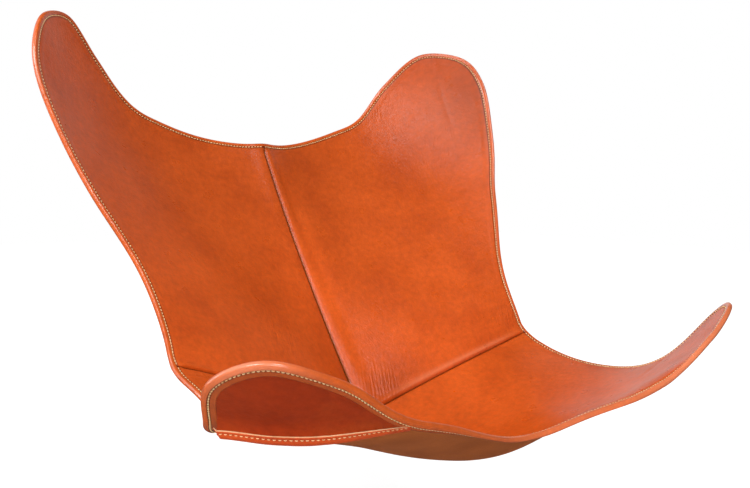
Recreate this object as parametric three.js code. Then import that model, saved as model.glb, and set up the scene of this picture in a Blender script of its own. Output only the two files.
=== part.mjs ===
// Leather sling of a butterfly chair, in the shape that it takes on its frame.
// Millimetres. +Z is up, the sitter faces -Y, and the sling is symmetric about the plane x = 0.
// The origin lies on that plane, straight below the crossing of the two seams of the back,
// level with the bottom of the seat. Left and right are those of a viewer in front of the sling.
//
// The sling is drawn as its cutter draws it: on the flat leather, with s across from the centre line
// and v up from the cross seam (v below zero is the seat). Two curved faces carry the flat leather
// to its hung shape, and every piece is laid on them at its own height above the sitter's face.
import * as THREE from 'three';

// Driving dimensions: leather, thread and clearance
const PANEL_LEATHER = 3;
const HEM_LEATHER = 2.5;
const POCKET_LEATHER = 2;
const BINDING_LEATHER = 1;
const TAPE_LEATHER = 1.5;
const THREAD = 1;
const CLEARANCE = 0.4;

// Driving dimensions: hem, seams and stitch rows
const HEM_WIDTH = 19;
const HEM_NOSE = 2;
const EDGE_STITCH = 10;
const SEAM_GAP = 1;
const TAPE_WIDTH = 30;

// Driving dimensions: pockets for the tips of the frame
const POCKET_ROOM = 10;
const POCKET_RISE = 50;
const BINDING_WIDTH = 10;
const MOUTH_STITCH = 6;
const MOUTH_END = 24;

// Driving dimensions: rounding of the valley along the centre line, which widens forward over the seat
const VALLEY_ROUND = 20;
const FRONT_ROUND = 110;

// Driving dimensions: facets
const STATION_STEP = 36;
const FACET_LENGTH = 80;

// Hung shape of the back: (x, y, z) at each station up the leather, on the centre rail and two side rails
const BACK_RAILS = [0, 200, 400];
const BACK_STATIONS = [0, 200, 400, 600];
const BACK_OFFSETS = [
  [[0, 0, 35], [185, -15, 100], [370, 0, 150]],
  [[0, 135, 215], [185, 110, 245], [370, 60, 290]],
  [[0, 250, 385], [190, 255, 390], [375, 180, 445]],
  [[0, 340, 550], [180, 350, 570], [360, 250, 620]],
];

// Hung shape of the seat: the same, going forward from the cross seam, which it shares with the back
const SEAT_RAILS = [0, 140, 280, 420];
const SEAT_STATIONS = [0, 130, 260, 400];
const SEAT_OFFSETS = [
  [[0, -130, 15], [135, -140, 45], [265, -145, 90], [400, -120, 100]],
  [[0, -255, 30], [135, -265, 55], [270, -260, 90], [410, -235, 130]],
  [[0, -365, 115], [140, -375, 125], [265, -370, 145], [385, -365, 215]],
];

// Outline of the right half on the flat leather, from the top centre over the upper wing,
// down to the waist at the cross seam, and round the front wing to the front centre
const OUTLINE = [
  [0, 460], [180, 490], [230, 505], [300, 560], [370, 595], [430, 563], [452, 500], [400, 290], [360, 150],
  [345, 0],
  [345, -115], [400, -255], [440, -330], [420, -390], [345, -413], [170, -380], [0, -345],
];
const WAIST = OUTLINE.findIndex(([, v]) => v === 0);
const FRONT = OUTLINE.length - 1;

// Mouths of the right pockets: two ends on the outline and the point that the mouth bows towards
const BACK_MOUTH = { from: [232, 505], bow: [325, 430], to: [428, 390] };
const FRONT_MOUTH = { from: [390, -245], bow: [300, -295], to: [235, -392] };

// Heights above the sitter's face, on the outer side
const OUTER_FACE = PANEL_LEATHER;
const HEM_SEAT = OUTER_FACE + CLEARANCE;
const TAPE_SEAT = OUTER_FACE + 2 * CLEARANCE;
const POCKET_SEAT = HEM_SEAT + BINDING_LEATHER + CLEARANCE;

const COLOURS = {
  panel: '#c9592a',
  hem: '#c25a2c',
  pocket: '#8e3216',
  binding: '#b5512a',
  tape: '#7f4824',
  thread: '#e2b887',
};

// Weights of the polynomial through the knots, at x
function weights(x, knots) {
  const others = (i) => knots.filter((_, j) => j !== i);
  return knots.map((k, i) => others(i).reduce((w, m) => (w * (x - m)) / (k - m), 1));
}

// A curved face: the polynomial through its offsets both ways, mirrored about the centre line,
// with the crease along that line rounded. sense is +1 where v runs up the stations, and endRound
// is the rounding at the last station.
class Face {
  constructor(rails, stations, offsets, sense, endRound) {
    Object.assign(this, { rails, stations, offsets, sense, endRound });
  }

  at(s, v) {
    const side = Math.abs(s);
    const share = (this.sense * v) / this.stations.at(-1);
    const round = VALLEY_ROUND + (this.endRound - VALLEY_ROUND) * Math.max(share, 0);
    const along = weights(this.sense * v, this.stations);
    const across = weights(side, this.rails);
    const rounded = weights(side * Math.tanh(side / round), this.rails);
    const blend = (axis, lateral) =>
      this.offsets.reduce((sum, row, i) =>
        sum + along[i] * row.reduce((part, offset, j) => part + lateral[j] * offset[axis], 0), 0);
    return new THREE.Vector3(Math.sign(s) * blend(0, across), blend(1, rounded), blend(2, rounded));
  }

  outward(s, v) {
    const reach = 0.5;
    const across = this.at(s + reach, v).sub(this.at(s - reach, v));
    const along = this.at(s, v + reach).sub(this.at(s, v - reach));
    return along.cross(across).normalize();
  }

  point(s, v, height) {
    return this.at(s, v).addScaledVector(this.outward(s, v), height);
  }
}

const crossSeam = SEAT_RAILS.map((s) => {
  const across = weights(s, BACK_RAILS);
  return [0, 1, 2].map((axis) => across.reduce((sum, w, i) => sum + w * BACK_OFFSETS[0][i][axis], 0));
});
const back = new Face(BACK_RAILS, BACK_STATIONS, BACK_OFFSETS, 1, VALLEY_ROUND);
const seat = new Face(SEAT_RAILS, SEAT_STATIONS, [crossSeam, ...SEAT_OFFSETS], -1, FRONT_ROUND);

// Points of the outline between two of its corners, each with its inward direction on the flat leather
const corners = [...OUTLINE, ...OUTLINE.slice(1, -1).reverse().map(([s, v]) => [-s, v])];
const outlineCurve = new THREE.CatmullRomCurve3(
  corners.map(([s, v]) => new THREE.Vector3(s, v, 0)), true, 'centripetal');

function rim(first, last) {
  const points = [];
  for (let i = first; i < last; i += 1) {
    const chord = Math.hypot(corners[i + 1][0] - corners[i][0], corners[i + 1][1] - corners[i][1]);
    const steps = Math.max(1, Math.round(chord / STATION_STEP));
    for (let k = 0; k < steps; k += 1) points.push(outlineCurve.getPoint((i + k / steps) / corners.length));
  }
  points.push(outlineCurve.getPoint(last / corners.length));
  const flat = points.map((p) => new THREE.Vector2(p.x, p.y));
  return stationsAlong(flat);
}

// Stations of a path: each point with the unit direction to the right of the way along the path
function stationsAlong(flat) {
  const end = flat.length - 1;
  return flat.map((at, i) => {
    const way = flat[Math.min(i + 1, end)].clone().sub(flat[Math.max(i - 1, 0)]).normalize();
    return { at, inward: new THREE.Vector2(way.y, -way.x) };
  });
}

function insetPoint(station, distance) {
  return station.at.clone().addScaledVector(station.inward, distance);
}

// The rims of the right half, squared off where they meet the centre line and the cross seam
const backRim = rim(0, WAIST);
backRim[0] = { at: new THREE.Vector2(CLEARANCE / 2, OUTLINE[0][1]), inward: new THREE.Vector2(0, -1) };
backRim[backRim.length - 1] = {
  at: new THREE.Vector2(OUTLINE[WAIST][0], SEAM_GAP), inward: new THREE.Vector2(-1, 0) };
const seatRim = rim(WAIST, FRONT);
seatRim[0] = { at: new THREE.Vector2(OUTLINE[WAIST][0], -SEAM_GAP), inward: new THREE.Vector2(-1, 0) };
seatRim[seatRim.length - 1] = {
  at: new THREE.Vector2(CLEARANCE / 2, OUTLINE[FRONT][1]), inward: new THREE.Vector2(0, 1) };

// Equal steps from one value to another, both ends included
function evenSteps(from, to) {
  const count = Math.max(1, Math.round(Math.abs(to - from) / STATION_STEP));
  return Array.from({ length: count + 1 }, (_, i) => from + ((to - from) * i) / count);
}

const CUT_EDGE = HEM_NOSE + CLEARANCE;
const SEAM_RING = SEAM_GAP + EDGE_STITCH - CUT_EDGE;
const seamAcross = evenSteps(SEAM_GAP, OUTLINE[WAIST][0] - CUT_EDGE);
const seamUp = evenSteps(SEAM_GAP, OUTLINE[0][1] - CUT_EDGE);

// Solid from vertices and facets, with its faces turned outwards
function solid(vertices, facets) {
  const volume = facets.reduce((sum, [a, b, c]) =>
    sum + vertices[a].dot(vertices[b].clone().cross(vertices[c])), 0);
  const turned = volume > 0 ? facets : facets.map(([a, b, c]) => [a, c, b]);
  const geometry = new THREE.BufferGeometry();
  const coordinates = vertices.flatMap((p) => p.toArray());
  geometry.setAttribute('position', new THREE.Float32BufferAttribute(coordinates, 3));
  geometry.setIndex(turned.flat());
  geometry.computeVertexNormals();
  return geometry;
}

function mirrored(geometry) {
  const position = geometry.getAttribute('position');
  const index = Array.from(geometry.getIndex().array);
  const vertices = Array.from({ length: position.count }, (_, i) =>
    new THREE.Vector3(-position.getX(i), position.getY(i), position.getZ(i)));
  const facets = Array.from({ length: index.length / 3 }, (_, i) => index.slice(3 * i, 3 * i + 3));
  return solid(vertices, facets);
}

// Facets of the flat leather inside a closed edge: rings along the edge at the given distances,
// then triangles that are halved until none has a side longer than a facet
function flatSheet(edge, ringDistances) {
  const count = edge.length;
  const side = (i) => {
    const way = edge[(i + 1) % count].clone().sub(edge[i]).normalize();
    return new THREE.Vector2(way.y, -way.x);
  };
  const mitre = edge.map((_, i) => {
    const before = side((i + count - 1) % count);
    const after = side(i);
    return before.clone().add(after).divideScalar(1 + before.dot(after));
  });
  const flat = [...edge];
  const facets = [];
  ringDistances.forEach((distance, ring) => {
    edge.forEach((p, i) => flat.push(p.clone().addScaledVector(mitre[i], distance)));
    for (let i = 0; i < count; i += 1) {
      const j = (i + 1) % count;
      const [outer, inner] = [ring * count, (ring + 1) * count];
      facets.push([outer + i, outer + j, inner + j], [outer + i, inner + j, inner + i]);
    }
  });
  const base = ringDistances.length * count;
  const inside = THREE.ShapeUtils.triangulateShape(flat.slice(base), []);
  const onRing = (a, b) => a < base + count && b < base + count && [1, count - 1].includes(Math.abs(a - b));
  const core = inside.map((facet) => facet.map((i) => i + base));
  const ringWay = signedArea(flat, facets.slice(0, 1)) * signedArea(flat, core.slice(0, 1));
  const aligned = ringWay > 0 ? core : core.map(([a, b, c]) => [a, c, b]);
  return { flat, count, facets: [...facets, ...halved(flat, aligned, onRing)] };
}

function signedArea(flat, facets) {
  return facets.reduce((sum, [a, b, c]) =>
    sum + flat[b].clone().sub(flat[a]).cross(flat[c].clone().sub(flat[a])), 0);
}

// Halves every side that is longer than a facet, in both triangles that share it
function halved(flat, facets, fixed) {
  const middles = new Map();
  const middle = (a, b) => {
    if (fixed(a, b) || flat[a].distanceTo(flat[b]) <= FACET_LENGTH) return undefined;
    const key = a < b ? `${a} ${b}` : `${b} ${a}`;
    if (!middles.has(key)) {
      middles.set(key, flat.length);
      flat.push(flat[a].clone().add(flat[b]).multiplyScalar(0.5));
    }
    return middles.get(key);
  };
  const finer = facets.flatMap((facet) => {
    const cuts = facet.map((a, i) => middle(a, facet[(i + 1) % 3]));
    const number = cuts.filter((cut) => cut !== undefined).length;
    if (number === 0) return [facet];
    const turn = number === 1 ? cuts.findIndex((cut) => cut !== undefined)
      : (cuts.findIndex((cut) => cut === undefined) + 1) % 3;
    const [a, b, c] = [0, 1, 2].map((i) => facet[(i + turn) % 3]);
    const [ab, bc, ca] = [0, 1, 2].map((i) => cuts[(i + turn) % 3]);
    if (number === 1) return [[a, ab, c], [ab, b, c]];
    if (number === 2) return [[ab, b, bc], [a, ab, bc], [a, bc, c]];
    return [[a, ab, ca], [ab, b, bc], [ca, bc, c], [ab, bc, ca]];
  });
  return middles.size > 0 ? halved(flat, finer, fixed) : finer;
}

// A piece of leather: the flat sheet laid on a face between two heights
function leatherSheet(face, sheet, innerHeight, outerHeight) {
  const { flat, facets, count } = sheet;
  const total = flat.length;
  const inner = flat.map((p) => face.point(p.x, p.y, innerHeight(p)));
  const outer = flat.map((p) => face.point(p.x, p.y, outerHeight(p)));
  const walls = Array.from({ length: count }, (_, i) => i).flatMap((i) => {
    const j = (i + 1) % count;
    return [[j, i, i + total], [j, i + total, j + total]];
  });
  const reverse = facets.map(([a, b, c]) => [a + total, c + total, b + total]);
  return solid([...inner, ...outer], [...facets, ...walls, ...reverse]);
}

// A strip: a closed section of (distance to the right of the path, height) carried along a path
function strip(face, path, section) {
  const size = section.length;
  const vertices = path.flatMap((station) => section.map(([distance, height]) => {
    const p = insetPoint(station, distance);
    return face.point(p.x, p.y, typeof height === 'function' ? height(p) : height);
  }));
  const shape = section.map((corner) => new THREE.Vector2(corner[0], stripLevel(corner)));
  return carried(vertices, size, path.length, shape);
}

// Height of a section corner, used only to cut the end caps into triangles
function stripLevel([, height]) {
  return typeof height === 'function' ? height.level : height;
}

// Closed solid from rows of section points, with flat end caps
function carried(vertices, size, rows, sectionShape) {
  const facets = [];
  for (let i = 0; i + 1 < rows; i += 1) {
    for (let k = 0; k < size; k += 1) {
      const [a, b] = [i * size + k, i * size + ((k + 1) % size)];
      facets.push([a, b, b + size], [a, b + size, a + size]);
    }
  }
  const clockwise = THREE.ShapeUtils.isClockWise(sectionShape);
  const cap = THREE.ShapeUtils.triangulateShape(sectionShape, []);
  const lastRow = (rows - 1) * size;
  const capArea = signedArea(sectionShape, cap);
  const sameWay = clockwise === (capArea < 0);
  cap.forEach(([a, b, c]) => {
    const facet = sameWay ? [a, b, c] : [a, c, b];
    facets.push([facet[0], facet[2], facet[1]], facet.map((i) => i + lastRow));
  });
  return solid(vertices, facets);
}

// Shortest distance from a point to a line through the given points
function distanceTo(line, p) {
  const pieces = line.slice(1).map((end, i) => {
    const start = line[i];
    const way = end.clone().sub(start);
    const share = THREE.MathUtils.clamp(p.clone().sub(start).dot(way) / way.lengthSq(), 0, 1);
    return p.distanceTo(start.clone().addScaledVector(way, share));
  });
  return Math.min(...pieces);
}

// The right half of the back, its cut edge just inside the hem
function backPanel() {
  const hemSide = backRim.map((station) => insetPoint(station, CUT_EDGE));
  hemSide[0].x = SEAM_GAP;
  const seamSide = seamAcross.slice(1, -1).reverse().map((s) => new THREE.Vector2(s, SEAM_GAP));
  const centreSide = seamUp.slice(0, -1).map((v) => new THREE.Vector2(SEAM_GAP, v));
  const rings = [EDGE_STITCH - CUT_EDGE, HEM_WIDTH + CLEARANCE - CUT_EDGE];
  const sheet = flatSheet([...hemSide, ...seamSide, ...centreSide], rings);
  return leatherSheet(back, sheet, () => 0, () => OUTER_FACE);
}

// The seat in one piece, from wing to wing
function seatPanel() {
  const right = seatRim.map((station) => insetPoint(station, CUT_EDGE)).slice(0, -1);
  const front = new THREE.Vector2(0, OUTLINE[FRONT][1] + CUT_EDGE);
  const left = right.map((p) => new THREE.Vector2(-p.x, p.y)).reverse();
  const across = seamAcross.slice(1, -1);
  const seamSide = [...across.map((s) => -s).reverse(), 0, ...across]
    .map((s) => new THREE.Vector2(s, -SEAM_GAP));
  const rings = [EDGE_STITCH - CUT_EDGE, HEM_WIDTH + CLEARANCE - CUT_EDGE];
  const sheet = flatSheet([...right, front, ...left, ...seamSide], rings);
  return leatherSheet(seat, sheet, () => 0, () => OUTER_FACE);
}

// The turned edge: a round nose past the cut edge and a flap on the outer side
function hem(face, path) {
  const top = HEM_SEAT + HEM_LEATHER;
  const middle = top / 2;
  return strip(face, path, [
    [HEM_NOSE, -CLEARANCE], [HEM_NOSE / 4, CLEARANCE], [0, middle], [HEM_NOSE / 4, top - CLEARANCE],
    [HEM_NOSE, top], [EDGE_STITCH, top], [HEM_WIDTH, top],
    [HEM_WIDTH, HEM_SEAT], [EDGE_STITCH, HEM_SEAT], [HEM_NOSE, HEM_SEAT],
  ]);
}

// The row of stitches along the outline, on the sitter's face, up to the last station before each seam
function edgeThread(face, path) {
  const row = path.slice(1, -1);
  const [near, far] = [EDGE_STITCH - THREAD / 2, EDGE_STITCH + THREAD / 2];
  const [low, high] = [-CLEARANCE, -CLEARANCE - THREAD];
  return strip(face, row, [[near, low], [far, low], [far, high], [near, high]]);
}

// A pocket on the outer side of a wing, with the strip and the stitches along its mouth
function pocket(face, path, { from, bow, to }) {
  const nearest = (target) => {
    const gaps = path.map(({ at }) => Math.hypot(at.x - target[0], at.y - target[1]));
    return gaps.indexOf(Math.min(...gaps));
  };
  const sewn = path.slice(nearest(from), nearest(to) + 1)
    .map((station) => insetPoint(station, HEM_WIDTH + CLEARANCE));
  const mouthCurve = new THREE.QuadraticBezierCurve(sewn.at(-1), new THREE.Vector2(...bow), sewn[0]);
  const length = mouthCurve.getLength();
  const mouth = evenSteps(MOUTH_END, length - MOUTH_END).map((u) => mouthCurve.getPointAt(u / length));
  const opening = (p) => POCKET_ROOM * THREE.MathUtils.smoothstep(distanceTo(sewn, p), 0, POCKET_RISE);
  const level = (height) => Object.assign((p) => height + opening(p), { level: height });
  const [inside, outside] = [POCKET_SEAT, POCKET_SEAT + POCKET_LEATHER];
  const sheet = flatSheet([...sewn, ...mouth], [MOUTH_STITCH, BINDING_WIDTH]);
  const leather = leatherSheet(face, sheet, level(inside), level(outside));

  const edge = stationsAlong(mouth);
  const upper = outside + CLEARANCE + BINDING_LEATHER;
  const lower = inside - CLEARANCE - BINDING_LEATHER;
  const nose = -CLEARANCE - BINDING_LEATHER;
  const binding = strip(face, edge, [
    [BINDING_WIDTH, level(outside + CLEARANCE)], [BINDING_WIDTH, level(upper)], [MOUTH_STITCH, level(upper)],
    [nose, level(upper)], [nose, level(lower)], [MOUTH_STITCH, level(lower)], [BINDING_WIDTH, level(lower)],
    [BINDING_WIDTH, level(inside - CLEARANCE)], [MOUTH_STITCH, level(inside - CLEARANCE)],
    [-CLEARANCE, level(inside - CLEARANCE)], [-CLEARANCE, level(outside + CLEARANCE)],
    [MOUTH_STITCH, level(outside + CLEARANCE)],
  ]);
  const [near, far] = [MOUTH_STITCH - THREAD / 2, MOUTH_STITCH + THREAD / 2];
  const [low, high] = [level(upper + CLEARANCE), level(upper + CLEARANCE + THREAD)];
  const thread = strip(face, edge, [[near, low], [near, high], [far, high], [far, low]]);
  return { leather, binding, thread };
}

// The strip behind the centre seam, from the cross seam to the hem
function centreTape() {
  const half = TAPE_WIDTH / 2;
  const top = OUTLINE[0][1] - HEM_WIDTH - CLEARANCE;
  const levels = [...seamUp.filter((v) => v < top), top];
  const path = stationsAlong(levels.map((v) => new THREE.Vector2(0, v)));
  const [low, high] = [TAPE_SEAT, TAPE_SEAT + TAPE_LEATHER];
  const folds = [-half, -SEAM_RING, -SEAM_GAP, SEAM_GAP, SEAM_RING, half];
  return strip(back, path, [...folds.map((d) => [d, low]), ...folds.reverse().map((d) => [d, high])]);
}

// The right strip behind the cross seam, from the centre strip to the last station before the hem,
// bent round the corner between back and seat
function crossTape() {
  const half = TAPE_WIDTH / 2;
  const start = half + SEAM_GAP;
  const levels = [start, ...seamAcross.slice(0, -1).filter((s) => s > start)];
  const corner = (s, height) => {
    const [behind, below] = [back.outward(s, 0), seat.outward(s, 0)];
    const mitre = behind.clone().add(below).divideScalar(1 + behind.dot(below));
    return back.at(s, 0).addScaledVector(mitre, height);
  };
  const [low, high] = [TAPE_SEAT, TAPE_SEAT + TAPE_LEATHER];
  const vertices = levels.flatMap((s) => [
    back.point(s, half, low), corner(s, low), seat.point(s, -half, low),
    seat.point(s, -half, high), corner(s, high), back.point(s, half, high),
  ]);
  const bend = [[half, 0], [0, 0], [0, half], [-TAPE_LEATHER, half], [-TAPE_LEATHER, -TAPE_LEATHER],
    [half, -TAPE_LEATHER]].map(([a, b]) => new THREE.Vector2(a, b));
  return carried(vertices, bend.length, levels.length, bend);
}

const sling = new THREE.Group();

function add(name, geometry, finish, roughness) {
  const material = new THREE.MeshStandardMaterial({ color: COLOURS[finish], roughness, metalness: 0 });
  const mesh = new THREE.Mesh(geometry, material);
  mesh.name = name;
  sling.add(mesh);
}

function addPair(name, right, finish, roughness) {
  add(`${name}_right`, right, finish, roughness);
  add(`${name}_left`, mirrored(right), finish, roughness);
}

const GRAIN = 0.45;
const FLESH = 0.85;
addPair('back_panel', backPanel(), 'panel', GRAIN);
add('seat_panel', seatPanel(), 'panel', GRAIN);
add('centre_seam_tape', centreTape(), 'tape', FLESH);
addPair('cross_seam_tape', crossTape(), 'tape', FLESH);
addPair('back_hem', hem(back, backRim), 'hem', GRAIN);
addPair('back_edge_thread', edgeThread(back, backRim), 'thread', FLESH);
addPair('seat_hem', hem(seat, seatRim), 'hem', GRAIN);
addPair('seat_edge_thread', edgeThread(seat, seatRim), 'thread', FLESH);

function addPockets(end, face, path, mouth) {
  const { leather, binding, thread } = pocket(face, path, mouth);
  addPair(`${end}_pocket`, leather, 'pocket', GRAIN);
  addPair(`${end}_mouth_binding`, binding, 'binding', GRAIN);
  addPair(`${end}_mouth_thread`, thread, 'thread', FLESH);
}

addPockets('back', back, backRim, BACK_MOUTH);
addPockets('front', seat, seatRim, FRONT_MOUTH);

export default sling;
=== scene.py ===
# %% [markdown]
# # The leather sling of a butterfly chair
# A butterfly chair is a bent rod with four tips, and a leather sling that hangs from them by a pocket
# behind each wing. Here only the sling is shown, in the shape that it takes on its frame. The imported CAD
# model gives the size and place of every piece, and this file dresses those pieces: the same flat cutting
# pattern is laid on the same hung shape, with finer edges, seams, stitches and leather.

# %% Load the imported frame
import math
from collections import namedtuple

import bpy
import numpy as np
from mathutils import Matrix, Vector


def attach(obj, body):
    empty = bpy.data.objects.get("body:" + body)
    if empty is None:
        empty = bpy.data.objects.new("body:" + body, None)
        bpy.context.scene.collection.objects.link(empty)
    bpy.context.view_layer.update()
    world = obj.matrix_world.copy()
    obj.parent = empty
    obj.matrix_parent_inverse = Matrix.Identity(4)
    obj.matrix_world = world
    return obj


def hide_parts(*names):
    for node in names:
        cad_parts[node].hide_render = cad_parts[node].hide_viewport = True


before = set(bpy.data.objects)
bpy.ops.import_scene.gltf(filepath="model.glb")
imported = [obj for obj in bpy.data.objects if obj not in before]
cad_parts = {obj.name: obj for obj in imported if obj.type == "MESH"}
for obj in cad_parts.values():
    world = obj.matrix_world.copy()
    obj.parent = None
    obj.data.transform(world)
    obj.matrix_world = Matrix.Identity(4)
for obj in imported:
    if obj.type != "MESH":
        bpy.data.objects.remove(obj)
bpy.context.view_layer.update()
print("CAD nodes:", len(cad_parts))

# %% [markdown]
# ## From flat leather to hung leather
# A sling is cut flat and then pulled into shape by the frame. So every point is named by its place on the
# flat hide: s across from the centre line and v up from the cross seam, both in millimetres, with v below
# zero on the seat. A table of offsets, as a boat builder uses for a hull, says where a few of those places
# hang. A polynomial through the table carries every other point there. A cloth simulation could find such
# a shape too, but here the photograph gives the shape, and a table can be measured against it.

# %% The hung shape
MM = 0.001
VALLEY_ROUND = 20.0
FRONT_ROUND = 110.0
Face = namedtuple("Face", "rails stations offsets sense end_round")

BACK_OFFSETS = np.array([
    [[0, 0, 35], [185, -15, 100], [370, 0, 150]],
    [[0, 135, 215], [185, 110, 245], [370, 60, 290]],
    [[0, 250, 385], [190, 255, 390], [375, 180, 445]],
    [[0, 340, 550], [180, 350, 570], [360, 250, 620]],
], float)
SEAT_OFFSETS = np.array([
    [[0, -130, 15], [135, -140, 45], [265, -145, 90], [400, -120, 100]],
    [[0, -255, 30], [135, -265, 55], [270, -260, 90], [410, -235, 130]],
    [[0, -365, 115], [140, -375, 125], [265, -370, 145], [385, -365, 215]],
], float)
BACK_RAILS, BACK_STATIONS = np.array([0.0, 200, 400]), np.array([0.0, 200, 400, 600])
SEAT_RAILS, SEAT_STATIONS = np.array([0.0, 140, 280, 420]), np.array([0.0, 130, 260, 400])


def knot_weights(x, knots):
    """Weights of the polynomial through the knots: for each knot, the product over the other knots of
    (x - other) / (knot - other)."""
    same = np.eye(len(knots), dtype=bool)
    spans = knots[:, None] - knots[None, :] + same
    ratio = (np.asarray(x, float)[..., None, None] - knots) / spans
    return np.where(same, 1.0, ratio).prod(-1)


CROSS_SEAM = np.einsum("ij,jk->ik", knot_weights(SEAT_RAILS, BACK_RAILS), BACK_OFFSETS[0])
back = Face(BACK_RAILS, BACK_STATIONS, BACK_OFFSETS, 1, VALLEY_ROUND)
seat = Face(SEAT_RAILS, SEAT_STATIONS, np.concatenate([CROSS_SEAM[None], SEAT_OFFSETS]), -1, FRONT_ROUND)


def face_point(face, s, v):
    """Place on the sitter's face: the offsets weighted by station and by rail. Left mirrors right, and
    |s| tanh(|s| / round) in place of |s| rounds the valley along the centre line."""
    side = np.abs(s)
    share = np.maximum(face.sense * v / face.stations[-1], 0)
    valley = VALLEY_ROUND + (face.end_round - VALLEY_ROUND) * share
    along = knot_weights(face.sense * v, face.stations)
    across = knot_weights(side, face.rails)
    rounded = knot_weights(side * np.tanh(side / valley), face.rails)
    x = np.sign(s) * np.einsum("...i,...j,ij->...", along, across, face.offsets[..., 0])
    yz = np.einsum("...i,...j,ijk->...k", along, rounded, face.offsets[..., 1:])
    return np.concatenate([x[..., None], yz], -1)


def unit(vectors):
    """Vectors scaled to length 1: each divided by the root of the sum of its squares."""
    return vectors / np.linalg.norm(vectors, axis=-1, keepdims=True)


def face_outward(face, s, v):
    """Unit normal on the outer side: the cross product of the slopes along v and along s."""
    reach = 0.5
    across = face_point(face, s + reach, v) - face_point(face, s - reach, v)
    along = face_point(face, s, v + reach) - face_point(face, s, v - reach)
    return unit(np.cross(along, across))


print("Crossing of the seams hangs at", face_point(back, np.array(0.0), np.array(0.0)).tolist(), "mm")

# %% [markdown]
# ## Laying a piece on the hung shape
# A piece that lies on the leather has a height h above the sitter's face, counted outwards. Back and seat
# meet at a sharp corner along the cross seam, and pieces on both sides have to meet there without a gap.
# A joiner would cut a mitre, so close to the seam the direction of h turns to the mitre of the two normals.
# Leather also never hangs quite fair. A few long shallow waves are added to everything alike, and a short
# list of pulls moves the places where this sling hangs differently from the even table.

# %% Laying points on the leather
MITRE_REACH = 16.0
SAG = 0.66
# Each wave in the hide: its length across and up divided by a full turn, phase, strength
WAVES = np.array([[41, 67, 0.7, 1.0], [29, -53, 2.1, 0.8], [73, 31, 4.0, 0.6]])
WAIST_ROUND = 24.0
WAIST_NEAR, WAIST_FULL = 230.0, 335.0
FRONT_EDGE = 345.0
FRONT_TURN = 13.0
TURN_REACH = 42.0
# Each pull: s and v of its middle, its reach, then millimetres along x, y and z
PULLS = np.array([
    [-170, -190, 220, 8, -6, 4],   # left half of the seat, towards the right
    [40, -230, 100, 0, 0, -16],    # hollow of the seat, down
    [425, -390, 220, -6, 5, 8],    # right front wing, up and back
    [60, -350, 200, 5, -4, 22],    # front edge, up
    [-330, -412, 60, 1, 0, 6],     # lower end of the left front wing, up
    [-395, -235, 75, -7, 5, 3],    # left side of the seat, outwards
    [-438, -290, 45, 9, 12, -1],   # outer side of the left front wing, back
    [350, -90, 150, 9, -7, -2],    # right side of the seat, outwards
    [245, -400, 55, 0, 0, 5],      # lower edge of the right front wing, up
    [415, -255, 100, 0, 0, -8],    # rear edge of the right front wing, down
    [355, 110, 100, -5, 4, -5],    # right waist, inwards
    [-385, 240, 220, 3, -1, 11],   # left side of the back, up
    [420, 370, 60, 4, -3, -1],     # neck of the right upper wing, outwards
    [-445, 530, 60, 6, -4, 1],     # outer side of the left upper wing, inwards
    [445, 530, 60, -5, 5, 6],      # outer side of the right upper wing, inwards
], float)


def smooth_share(x, low, high):
    """0 below low, 1 above high, and 3t^2 - 2t^3 between."""
    t = np.clip((x - low) / (high - low), 0, 1)
    return t * t * (3 - 2 * t)


def uneven(s, v):
    """Shallow waves in the hide, in millimetres: three sines of different length and direction, which die
    out at the cross seam and at the centre line."""
    turns = s[..., None] / WAVES[:, 0] + v[..., None] / WAVES[:, 1] + WAVES[:, 2]
    waves = np.sin(turns) @ WAVES[:, 3]
    return SAG * waves * smooth_share(np.abs(v), 2, 60) * smooth_share(np.abs(s), 2, 60)


def pulled(s, v):
    """Small pulls that a hung sling gets: each a bell exp(-(distance / reach)^2) on the flat hide times a
    shift in space."""
    apart = (s[..., None] - PULLS[:, 0]) ** 2 + (v[..., None] - PULLS[:, 1]) ** 2
    return np.exp(-apart / PULLS[:, 2] ** 2) @ PULLS[:, 3:]


def rounded_point(face, s, v):
    """Place on the sitter's face with the corner between back and seat rounded towards the waist: within a
    reach of the cross seam, the mean of seven places along v."""
    reach = WAIST_ROUND * smooth_share(np.abs(s), WAIST_NEAR, WAIST_FULL)
    place = face_point(face, s, v)
    near = np.abs(v) < reach
    at = v[near][:, None] + reach[near][:, None] * np.linspace(-1, 1, 7)
    wide = np.broadcast_to(s[near][:, None], at.shape)
    place[near] = np.where(at[..., None] >= 0, face_point(back, wide, at), face_point(seat, wide, at)).mean(1)
    return place


def turned_down(s, v):
    """How far the front edge turns down, in millimetres: the square of the share of a short reach inside the
    edge, fading out towards both front wings. The edge is taken as a line that bends softly at the centre."""
    inside = v + FRONT_EDGE + 0.2 * (np.hypot(s, 60) - 60)
    between = smooth_share(s, -210, -50) * (1 - smooth_share(s, 220, 330))
    return FRONT_TURN * between * np.clip(1 - inside / TURN_REACH, 0, 1.2) ** 2


def hung(face, s, v, h):
    """Place in metres of the point (s, v) at height h: the face's point plus h along the outward direction,
    which blends into the mitre (N1 + N2) / (1 + N1.N2) of both faces near the cross seam."""
    s, v, h = np.broadcast_arrays(*(np.asarray(a, float) for a in (s, v, h)))
    own = face_outward(face, s, v)
    behind, below = (face_outward(other, s, np.zeros_like(v)) for other in (back, seat))
    mitre = (behind + below) / (1 + (behind * below).sum(-1, keepdims=True))
    near = (1 - smooth_share(np.abs(v), 0, MITRE_REACH))[..., None]
    way = own + (mitre - own) * near
    place = rounded_point(face, s, v) + pulled(s, v) + way * (h + uneven(s, v))[..., None]
    place[..., 2] -= turned_down(s, v)
    return place * MM


print("Lowest point of the seat's centre line:",
      np.round(hung(seat, np.zeros(60), np.linspace(-1, -340, 60), 0)[:, 2].min(), 4), "m")

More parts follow.
